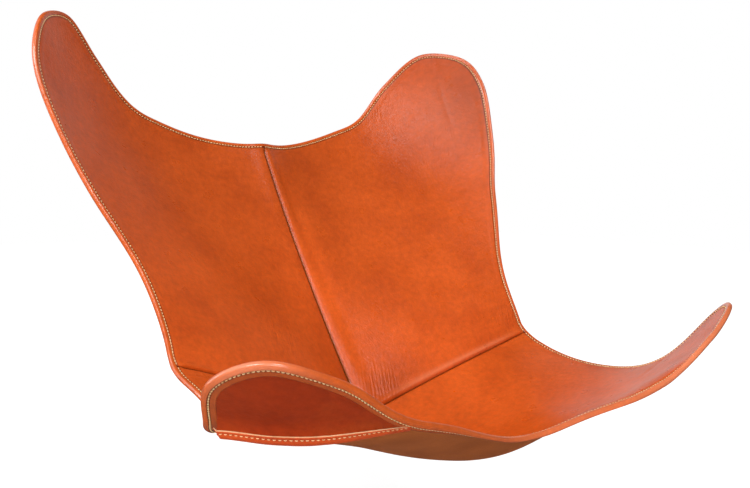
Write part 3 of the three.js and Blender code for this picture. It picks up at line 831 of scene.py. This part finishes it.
def add_cross_tape(name, side):
    """Right or left strip along the cross seam: back face above, seat face below, meeting on the mitre."""
    s = side * np.linspace(TAPE_HALF + 1, TAPE_END, 90)[:, None]
    up, down = np.linspace(TAPE_HALF, 0, 14)[None], np.linspace(0, -TAPE_HALF, 14)[None, 1:]
    halves = ((back, up), (seat, down))
    rows = [np.concatenate([hung(face, s, v, tape_height(v) + t) for face, v in halves], 1)
            for t in (TAPE_LEATHER, 0.0)]
    flat = np.stack(np.broadcast_arrays(s, np.concatenate([up, down], 1)), -1)
    return strip_solid(name, rows[0], rows[1], flat, flat, side < 0)


centre_tape = add_centre_tape()
cross_tapes = {side: add_cross_tape(f"cross_seam_strip_{side}", sign) for side, sign in SIDES.items()}
print("Seam strips:", centre_tape.name, [t.name for t in cross_tapes.values()])

# %% [markdown]
# ## Stitches
# The thread goes through the leather at every hole, so from each side it shows as a row of short stitches
# that dip at both ends. One continuous cord would look like piping. A stitch is a short four-sided rod, thick
# in the middle, and all stitches of a row are worked out at once: place along the row, place along the
# stitch, place round the rod.

# %% Stitches as rods
PITCH = 4.9
STITCH = 3.8
STITCH_DIP = 0.7
STITCH_BLUNT, STITCH_WIDE = 1.12, 1.15
STITCH_RINGS = 7
THREAD = 0.8
MOUTH_THREAD = 0.6


def stitch_rods(centre, way, up, thick):
    """Points and quads of stitches: along a stitch the radius falls as a half ellipse to the ends and the rod
    dips below the surface with the square of the distance from its middle."""
    along = np.linspace(-1, 1, STITCH_RINGS)[None, :, None, None]
    turn = (np.arange(4) * np.pi / 2)[None, None, :, None]
    beside = np.cross(way, up)
    w, u, b = (a[:, None, None, :] for a in (way, up, beside))
    radius = thick * MM * np.sqrt(STITCH_BLUNT - along ** 2)
    rods = (centre[:, None, None, :] + w * along * STITCH * MM / 2 - u * along ** 2 * STITCH_DIP * MM
            + radius * (u * np.cos(turn) + b * np.sin(turn) * STITCH_WIDE))
    index = np.arange(rods.size // 3).reshape(rods.shape[:3])
    ring = np.concatenate([index, index[:, :, :1]], 2)
    corners = (ring[:, :-1, :-1], ring[:, 1:, :-1], ring[:, 1:, 1:], ring[:, :-1, 1:])
    sides = np.stack(corners, -1).reshape(-1, 4)
    caps = np.concatenate([index[:, 0], index[:, -1, ::-1]])
    return rods.reshape(-1, 3), np.concatenate([sides, caps])


def stitch_row(face, flat, height, outside, thick=THREAD):
    """Stitches centred on flat places at a height, standing out on the outer or the sitter's side. They point
    along the row, and their upright is the normal squared to it."""
    s, v = flat[:, 0], flat[:, 1]
    centre = hung(face, s, v, height)
    way = unit(np.gradient(centre, axis=0))
    up = face_outward(face, s, v) * (1 if outside else -1)
    up = unit(up - way * (up * way).sum(-1, keepdims=True))
    return stitch_rods(centre, way, up, thick)


def add_stitches(name, rows):
    """One object from several rows of stitches."""
    counts = np.cumsum([0] + [len(points) for points, _ in rows])
    points = np.concatenate([points for points, _ in rows])
    quads = np.concatenate([quads + start for (_, quads), start in zip(rows, counts)])
    return add_mesh(name, points, quads, points[:, :2] / MM)


print("Stitch:", STITCH, "mm long, one every", PITCH, "mm")

# %% Stitch rows
# Both rows along the hem: distance from the edge, height, and whether it is on the outer side
EDGE_ROWS = ((6.8, -0.35, False), (7.1, 5.9, True))
MOUTH_STITCH = 7.9
MOUTH_STITCH_HEIGHT = 1.35
MOUTH_STITCH_MARGIN = 8.0


def add_edge_stitches(name, face, side):
    """The rows along the hem, one on each face of the leather."""
    place, inward = along_edge(edge_stations(face, PITCH)[1:-1])
    rows = []
    for distance, height, outside in EDGE_ROWS:
        flat = (place + inward * distance) * [side, 1]
        rows.append(stitch_row(face, flat, np.full(len(flat), height), outside))
    return add_stitches(name, rows)


def add_mouth_stitches(name, pocket, side):
    """The row through a mouth's binding, on its outer face."""
    place, inward = mouth_stations(pocket, PITCH, MOUTH_STITCH_MARGIN)
    flat = place + inward * MOUTH_STITCH
    height = POCKET_HEIGHT + POCKET_LEATHER + stand_off(pocket, flat) + MOUTH_STITCH_HEIGHT
    return add_stitches(name, [stitch_row(pocket.face, flat * [side, 1], height, True, MOUTH_THREAD)])


edge_stitches = all_round(add_edge_stitches, "edge_stitches", FACES)
mouth_stitches = all_round(add_mouth_stitches, "mouth_stitches", POCKETS)
faces_each = (STITCH_RINGS - 1) * 4 + 2
stitch_rows = [*edge_stitches.values(), *mouth_stitches.values()]
print("Stitches:", sum(len(row.data.polygons) // faces_each for row in stitch_rows))

# %% [markdown]
# ## Leather
# Waxed saddle leather is an even tan from afar and lively from close by: clouds of lighter and darker dye,
# fine pebbled grain that catches the light, and softer gloss where it has been rubbed. All patterns read the
# flat map, so they run with the hide round its curves. A plain colour with noise on Object coordinates would
# swim through the folds.

# %% Material helpers
def new_material(name):
    """A material with its nodes and its shader."""
    material = bpy.data.materials.new(name)
    material.use_nodes = True
    tree = material.node_tree
    return material, tree, tree.nodes["Principled BSDF"]


def add_node(tree, kind, **values):
    """A node with its inputs and settings given by name: inputs where a socket of that name exists."""
    node = tree.nodes.new(kind)
    for key, value in values.items():
        label = key.replace("_", " ")
        if label in node.inputs:
            node.inputs[label].default_value = value
        else:
            setattr(node, key, value)
    return node


def flat_map(tree):
    """Place on the flat hide, in metres."""
    return add_node(tree, "ShaderNodeUVMap", uv_map="flat").outputs["UV"]


def mark_value(tree, mark):
    """The value that a piece keeps at each point under the name of a mark."""
    return add_node(tree, "ShaderNodeAttribute", attribute_name=mark).outputs["Fac"]


def pattern(tree, place, kind, **values):
    """A texture or mapping node that reads the given place."""
    node = add_node(tree, kind, **values)
    tree.links.new(place, node.inputs["Vector"])
    return node


def ramp(tree, value, stops):
    """Colour ramp from (place, colour) stops."""
    node = tree.nodes.new("ShaderNodeValToRGB")
    while len(node.color_ramp.elements) < len(stops):
        node.color_ramp.elements.new(0.5)
    for element, (place, colour) in zip(node.color_ramp.elements, stops):
        element.position = place
        element.color = (*colour, 1)
    tree.links.new(value, node.inputs["Fac"])
    return node.outputs["Color"]


def span(tree, value, low, high, start=0.0, full=1.0):
    """Value from start..full stretched to low..high."""
    node = add_node(tree, "ShaderNodeMapRange", From_Min=start, From_Max=full, To_Min=low, To_Max=high)
    tree.links.new(value, node.inputs["Value"])
    return node.outputs["Result"]


def product(tree, a, b):
    """Two values multiplied."""
    node = add_node(tree, "ShaderNodeMath", operation="MULTIPLY")
    tree.links.new(a, node.inputs[0])
    tree.links.new(b, node.inputs[1])
    return node.outputs["Value"]


def join(tree, mode, a, b, share):
    """Two colours mixed; share may be a number or an output."""
    node = add_node(tree, "ShaderNodeMix", data_type="RGBA", blend_type=mode)
    for target, value in ((node.inputs[6], a), (node.inputs[7], b), (node.inputs[0], share)):
        if isinstance(value, bpy.types.NodeSocket):
            tree.links.new(value, target)
        else:
            target.default_value = value
    return node.outputs[2]


def bump(tree, height, distance, strength, under=None):
    """Normal bent by the slope of a height, on top of the normal of an earlier bump."""
    node = add_node(tree, "ShaderNodeBump", Distance=distance, Strength=strength)
    tree.links.new(height, node.inputs["Height"])
    if under is not None:
        tree.links.new(under, node.inputs["Normal"])
    return node.outputs["Normal"]


print("Material helpers ready")

# %% [markdown]
# All dyed pieces share one recipe, with three dyes, a roughness, a depth of grain and a gloss. The turned
# edge is rubbed smooth, so it shines more than the panels, and the pockets are darker and matt. The flesh
# side is raw, brown and fibrous, and the thread is waxed, so these two have recipes of their own.

# %% Leather finishes
# Pale colour of the painted highlights on the ridge above the cross seam and on the hem's roll
HIGHLIGHT_DYE = (0.97, 0.33, 0.17, 1.0)
RUB_RANGE = 0.08
# Depth of each relief, in metres
PEBBLE_DEPTH, DIMPLE_DEPTH, WRINKLE_DEPTH = 0.0006, 0.0009, 0.0032
FIBRE_DEPTH, TWIST_DEPTH = 0.0006, 0.0003


def leather(name, light, middle, deep, roughness, grain, gloss, marks=()):
    """Dyed leather: two sizes of cloud in the dye, pebbled grain, and a roughness that varies with clouds of
    its own. Marks name the values that a piece has of its own: tone scales the dye with painted light and
    painted shade, the highlight mark mixes in a pale painted highlight, and wrinkled lets fine lines run
    along the hide."""
    material, tree, shader = new_material(name)
    place = flat_map(tree)
    cloud = pattern(tree, place, "ShaderNodeTexNoise", Scale=9.0, Detail=6.0, Roughness=0.62)
    speck = pattern(tree, place, "ShaderNodeTexNoise", Scale=110.0, Detail=4.0, Roughness=0.65)
    dye = ramp(tree, cloud.outputs["Fac"], [(0.32, deep), (0.5, middle), (0.68, light)])
    fine = ramp(tree, speck.outputs["Fac"], [(0.3, (0.84, 0.84, 0.84)), (0.7, (1.08, 1.08, 1.08))])
    dye = join(tree, "MULTIPLY", dye, fine, 1.0)
    rub = pattern(tree, place, "ShaderNodeTexNoise", Scale=26.0, Detail=3.0)
    rubbed = span(tree, rub.outputs["Fac"], roughness - RUB_RANGE, roughness + RUB_RANGE)
    tree.links.new(rubbed, shader.inputs["Roughness"])
    pebble = pattern(tree, place, "ShaderNodeTexVoronoi", Scale=560.0, feature="DISTANCE_TO_EDGE")
    dimple = pattern(tree, place, "ShaderNodeTexNoise", Scale=210.0, Detail=3.0)
    normal = bump(tree, pebble.outputs["Distance"], PEBBLE_DEPTH, grain)
    normal = bump(tree, dimple.outputs["Fac"], DIMPLE_DEPTH, grain, normal)
    # Painted light and shade scale the dye, and the pale colour of the painted highlights is mixed in
    if "tone" in marks:
        dye = join(tree, "MULTIPLY", dye, mark_value(tree, "tone"), 1.0)
    if "painted_highlight" in marks:
        dye = join(tree, "MIX", dye, HIGHLIGHT_DYE, mark_value(tree, "painted_highlight"))
    if "wrinkled" in marks:
        stretch = pattern(tree, place, "ShaderNodeMapping", vector_type="TEXTURE", Rotation=(0, 0, -0.3),
                          Scale=(0.004, 0.03, 1.0))
        line = pattern(tree, stretch.outputs["Vector"], "ShaderNodeTexNoise",
                       Scale=1.0, Detail=2.0, Distortion=0.4)
        depth = product(tree, line.outputs["Fac"], mark_value(tree, "wrinkled"))
        normal = bump(tree, depth, WRINKLE_DEPTH, 0.55, normal)
    tree.links.new(dye, shader.inputs["Base Color"])
    tree.links.new(normal, shader.inputs["Normal"])
    shader.inputs["Specular IOR Level"].default_value = gloss
    return material


tan = leather("tan_leather", (0.74, 0.112, 0.011), (0.66, 0.096, 0.008), (0.56, 0.076, 0.006),
              roughness=0.30, grain=0.45, gloss=0.36, marks=("tone", "painted_highlight", "wrinkled"))
# The turned edge's dyes are a little lighter than the panels': painted light on its roll
turned_tan = leather("turned_tan_leather", (0.76, 0.132, 0.016), (0.68, 0.110, 0.011), (0.58, 0.088, 0.007),
                     roughness=0.22, grain=0.2, gloss=0.9, marks=("tone", "painted_highlight"))
pocket_brown = leather("pocket_leather", (0.42, 0.050, 0.005), (0.37, 0.034, 0.003), (0.32, 0.026, 0.002),
                       roughness=0.5, grain=0.3, gloss=0.12)
strip_tan = leather("strip_leather", (0.68, 0.085, 0.012), (0.60, 0.068, 0.009), (0.50, 0.052, 0.007),
                    roughness=0.4, grain=0.2, gloss=0.25)
cut_edge = leather("cut_edge", (0.86, 0.56, 0.32), (0.78, 0.46, 0.24), (0.66, 0.34, 0.16),
                   roughness=0.6, grain=0.2, gloss=0.2)


def flesh_side(name):
    """Underside of leather: brown, matt and fibrous."""
    material, tree, shader = new_material(name)
    place = flat_map(tree)
    cloud = pattern(tree, place, "ShaderNodeTexNoise", Scale=14.0, Detail=5.0)
    fibre = pattern(tree, place, "ShaderNodeTexNoise", Scale=420.0, Detail=4.0, Roughness=0.7)
    dye = ramp(tree, cloud.outputs["Fac"], [(0.3, (0.35, 0.084, 0.014)), (0.7, (0.47, 0.120, 0.022))])
    fine = ramp(tree, fibre.outputs["Fac"], [(0.3, (0.82, 0.82, 0.82)), (0.7, (1.1, 1.1, 1.1))])
    tree.links.new(join(tree, "MULTIPLY", dye, fine, 1.0), shader.inputs["Base Color"])
    tree.links.new(bump(tree, fibre.outputs["Fac"], FIBRE_DEPTH, 0.5), shader.inputs["Normal"])
    shader.inputs["Roughness"].default_value = 0.85
    shader.inputs["Specular IOR Level"].default_value = 0.2
    return material


def thread_finish(name):
    """Waxed thread: cream to honey, with a fine twist across the stitch."""
    material, tree, shader = new_material(name)
    place = add_node(tree, "ShaderNodeTexCoord").outputs["Object"]
    tone = pattern(tree, place, "ShaderNodeTexNoise", Scale=240.0, Detail=2.0)
    twist = pattern(tree, place, "ShaderNodeTexNoise", Scale=2600.0, Detail=2.0)
    dye = ramp(tree, tone.outputs["Fac"], [(0.3, (0.92, 0.54, 0.22)), (0.7, (1.0, 0.74, 0.40))])
    tree.links.new(dye, shader.inputs["Base Color"])
    tree.links.new(bump(tree, twist.outputs["Fac"], TWIST_DEPTH, 0.6), shader.inputs["Normal"])
    shader.inputs["Roughness"].default_value = 0.6
    return material


flesh, thread = flesh_side("flesh_side"), thread_finish("waxed_thread")
print("Finishes:", [m.name for m in (tan, turned_tan, pocket_brown, strip_tan, cut_edge, flesh, thread)])

# %% [markdown]
# ## Dressing the pieces
# Every piece now gets its finish, rides on the one body of the sling, and stands in for its CAD node.

# %% Finishes and frame
BODY = "root"


def dress(piece, node, slot, *finishes):
    """Gives a piece its finishes and its body, and hides its CAD node. slot is not used."""
    for material in finishes:
        piece.data.materials.append(material)
    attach(piece, BODY)
    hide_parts(node)


for side, panel in (("left", panel_left), ("right", panel_right)):
    dress(panel, f"back_panel_{side}", "panel_leather", tan, flesh, flesh)
    dress(cross_tapes[side], f"cross_seam_tape_{side}", "tape_leather", flesh)
dress(panel_seat, "seat_panel", "panel_leather", tan, flesh, flesh)
dress(centre_tape, "centre_seam_tape", "tape_leather", flesh)
# What goes all round: the pieces, the label of their CAD nodes, their slot and their finishes
TRIMS = (
    (hems, "hem", "hem_leather", (turned_tan,)),
    (pockets, "pocket", "pocket_leather", (flesh, pocket_brown, strip_tan)),
    (bindings, "mouth_binding", "binding_leather", (strip_tan, cut_edge)),
    (edge_stitches, "edge_thread", "thread", (thread,)),
    (mouth_stitches, "mouth_thread", "thread", (thread,)),
)
for pieces, label, slot, finishes in TRIMS:
    for (end, side), piece in pieces.items():
        dress(piece, f"{end}_{label}_{side}", slot, *finishes)
print("Dressed:", len(MADE), "pieces")

# %% [markdown]
# Leather bends but hardly stretches, so a sheet has to be about as large as the flat piece that it was cut
# from. That flat size is read from the UV map, which holds every point's place on the hide.

# %% Sheets and their flat sizes
def flat_area(piece):
    """Area of the piece on the flat hide, in square metres, and its size across and up. Each cell of its
    first face adds half the cross product of its diagonals."""
    uv = np.zeros(len(piece.data.loops) * 2, np.float32)
    piece.data.uv_layers["flat"].data.foreach_get("uv", uv)
    finish = np.zeros(len(piece.data.polygons), np.int32)
    piece.data.polygons.foreach_get("material_index", finish)
    cells = uv.reshape(-1, 4, 2)[finish == 0]
    cross = np.cross(cells[:, 2] - cells[:, 0], cells[:, 3] - cells[:, 1])
    return float(np.abs(cross).sum() / 2), np.ptp(cells.reshape(-1, 2), axis=0)


def declare(piece):
    """Prints a sheet's name, its flat size across and up, and its area."""
    area, size = flat_area(piece)
    print(piece.name, "cut from", np.round(size, 3).tolist(), "m, area", round(area, 4), "m2")


for side, panel in (("left", panel_left), ("right", panel_right)):
    declare(panel)
declare(panel_seat)
for (end, side), piece in pockets.items():
    panel = panel_seat.name if end == "front" else f"back_leather_{side}"
    declare(piece)

# %% [markdown]
# ## Camera
# The camera stands where the photographer stood: in front and to the left, a little above the seat, with a
# lens of about 50 mm, found by fitting the outline and seams of this shape to the picture. It also leans a
# little to one side.

# %% Camera
AZIMUTH, ELEVATION, ROLL = math.radians(-38.35), math.radians(3.88), math.radians(1.01)
TARGET, DISTANCE = Vector((0.0639, 0.0582, 0.2816)), 1.6077
FOCAL_PIXELS, PICTURE_WIDTH = 1053.15, 750
SENSOR = 36.0
across = math.cos(ELEVATION)
backward = Vector((math.sin(AZIMUTH) * across, -math.cos(AZIMUTH) * across, math.sin(ELEVATION)))
right = Vector((math.cos(AZIMUTH), math.sin(AZIMUTH), 0))
up = backward.cross(right)
leaning_right = right * math.cos(ROLL) + up * math.sin(ROLL)
leaning_up = up * math.cos(ROLL) - right * math.sin(ROLL)
turned = Matrix((leaning_right, leaning_up, backward)).transposed().to_4x4()
lens = bpy.data.cameras.new("camera")
lens.sensor_width = SENSOR
lens.lens = FOCAL_PIXELS / PICTURE_WIDTH * SENSOR
camera = bpy.data.objects.new("camera", lens)
camera.matrix_world = Matrix.Translation(TARGET + backward * DISTANCE) @ turned
bpy.context.scene.collection.objects.link(camera)
bpy.context.scene.camera = camera
print("Camera at", [round(c, 3) for c in camera.matrix_world.translation], "lens", round(lens.lens, 2), "mm")

# %% [markdown]
# ## Studio
# The sling hangs as it would on its frame, with its lowest point about 0.3 m above a white floor. Plain white
# would be blown out in some places and grey in others. So the floor shines a little by itself where the
# camera sees it, more with the distance, keeps a soft shadow below the sling, and is dark in the gloss of the
# leather.

# %% Floor
FLOOR = -0.30
FLOOR_REACH = 8.0
FLOOR_GREY, FLOOR_IN_GLOSS = (0.60, 0.60, 0.60, 1), (0.12, 0.12, 0.12, 1)
# Glow of the floor near the sling and far away, and the distances where it starts to grow and is full
GLOW_NEAR, GLOW_FAR = 0.66, 0.84
GLOW_START, GLOW_FULL = 0.9, 2.4


def floor_finish(name):
    """White ground: grey for the light, darker in the gloss of the leather, and for the camera a glow that
    grows with the distance from the middle."""
    material, tree, shader = new_material(name)
    shader.inputs["Roughness"].default_value = 0.9
    shader.inputs["Specular IOR Level"].default_value = 0.0
    shader.inputs["Emission Color"].default_value = (1, 1, 1, 1)
    path = add_node(tree, "ShaderNodeLightPath")
    grey = join(tree, "MIX", FLOOR_GREY, FLOOR_IN_GLOSS, path.outputs["Is Glossy Ray"])
    tree.links.new(grey, shader.inputs["Base Color"])
    away = add_node(tree, "ShaderNodeVectorMath", operation="LENGTH")
    tree.links.new(add_node(tree, "ShaderNodeTexCoord").outputs["Object"], away.inputs[0])
    glow = span(tree, away.outputs["Value"], GLOW_NEAR, GLOW_FAR, GLOW_START, GLOW_FULL)
    tree.links.new(product(tree, path.outputs["Is Camera Ray"], glow), shader.inputs["Emission Strength"])
    return material


corners = [(FLOOR_REACH * x, FLOOR_REACH * y, FLOOR) for x, y in ((-1, -1), (1, -1), (1, 1), (-1, 1))]
floor_mesh = bpy.data.meshes.new("floor")
floor_mesh.from_pydata(corners, [], [(0, 1, 2, 3)])
floor_mesh.materials.append(floor_finish("white_floor"))
floor = bpy.data.objects.new("floor", floor_mesh)
bpy.context.scene.collection.objects.link(floor)
print("Floor at", FLOOR, "m")

# %% [markdown]
# The room gives a weak even light from all round. Two of its sides are bright, but only in the gloss of the
# leather: one high behind on the left, one level behind on the right. A picture of a studio could do the
# same, but two soft spots on the world need no file. The camera sees plain white.

# %% World
AMBIENT = 0.40
# Each bright side: direction, cosines where it starts and where it is full, shine outside and inside
BRIGHT_SIDES = (((-0.75, 0.47, 0.46), 0.6, 0.97, 0.03, 1.5), ((0.55, 0.83, 0.0), 0.72, 0.97, 0.03, 0.7))
world = bpy.data.worlds.new("studio")
bpy.context.scene.world = world
world.use_nodes = True
tree = world.node_tree
path = add_node(tree, "ShaderNodeLightPath")
soft = add_node(tree, "ShaderNodeMix", data_type="FLOAT")
soft.inputs[2].default_value = AMBIENT
shine = add_node(tree, "ShaderNodeMath", operation="ADD")
way = add_node(tree, "ShaderNodeTexCoord").outputs["Generated"]
for slot, (towards, start, full, low, high) in enumerate(BRIGHT_SIDES):
    facing = add_node(tree, "ShaderNodeVectorMath", operation="DOT_PRODUCT")
    tree.links.new(way, facing.inputs[0])
    facing.inputs[1].default_value = towards
    tree.links.new(span(tree, facing.outputs["Value"], low, high, start, full), shine.inputs[slot])
tree.links.new(shine.outputs["Value"], soft.inputs[3])
tree.links.new(path.outputs["Is Glossy Ray"], soft.inputs[0])
strength = add_node(tree, "ShaderNodeMix", data_type="FLOAT")
strength.inputs[3].default_value = 1.0
tree.links.new(path.outputs["Is Camera Ray"], strength.inputs[0])
tree.links.new(soft.outputs[0], strength.inputs[2])
tree.links.new(strength.outputs[0], tree.nodes["Background"].inputs["Strength"])
tree.nodes["Background"].inputs["Color"].default_value = (1, 1, 1, 1)
print("World light", AMBIENT)

# %% [markdown]
# The lamps are soft boxes. One lamp alone would leave the wings black, and a ring of equal lamps would
# flatten the folds. So the key box stands on the left, and the largest box high in front. A weak box near the
# camera opens the shadows, a low one behind on the left draws a rim along the back, and a very weak one far
# on the right lights the other side.

# %% Lamps
def soft_box(name, place, aim, width, height, power):
    """Area lamp at a place, turned to its aim."""
    lamp = bpy.data.lights.new(name, "AREA")
    lamp.shape, lamp.size, lamp.size_y, lamp.energy = "RECTANGLE", width, height, power
    box = bpy.data.objects.new(name, lamp)
    box.location = place
    box.rotation_euler = (Vector(aim) - Vector(place)).to_track_quat("-Z", "Y").to_euler()
    bpy.context.scene.collection.objects.link(box)
    return box


middle = (0.0, 0.0, 0.3)
soft_box("key_box", (-2.7, -0.7, 1.8), middle, 1.3, 1.3, 50)
soft_box("front_box", (-1.45, -1.9, 0.55), middle, 1.0, 1.0, 13)
soft_box("top_box", (-1.6, -3.56, 4.76), (0.3, 0.2, 0.45), 1.3, 3.0, 115)
soft_box("rim_box", (-1.7, 2.5, 0.5), (-0.35, 0.2, 0.35), 0.6, 1.4, 14)
soft_box("side_box", (5.1, 1.25, 2.86), (-0.32, 0.25, 0.5), 1.0, 1.2, 3.4)
bpy.context.scene.view_settings.view_transform = "Standard"
print("Lamps ready")
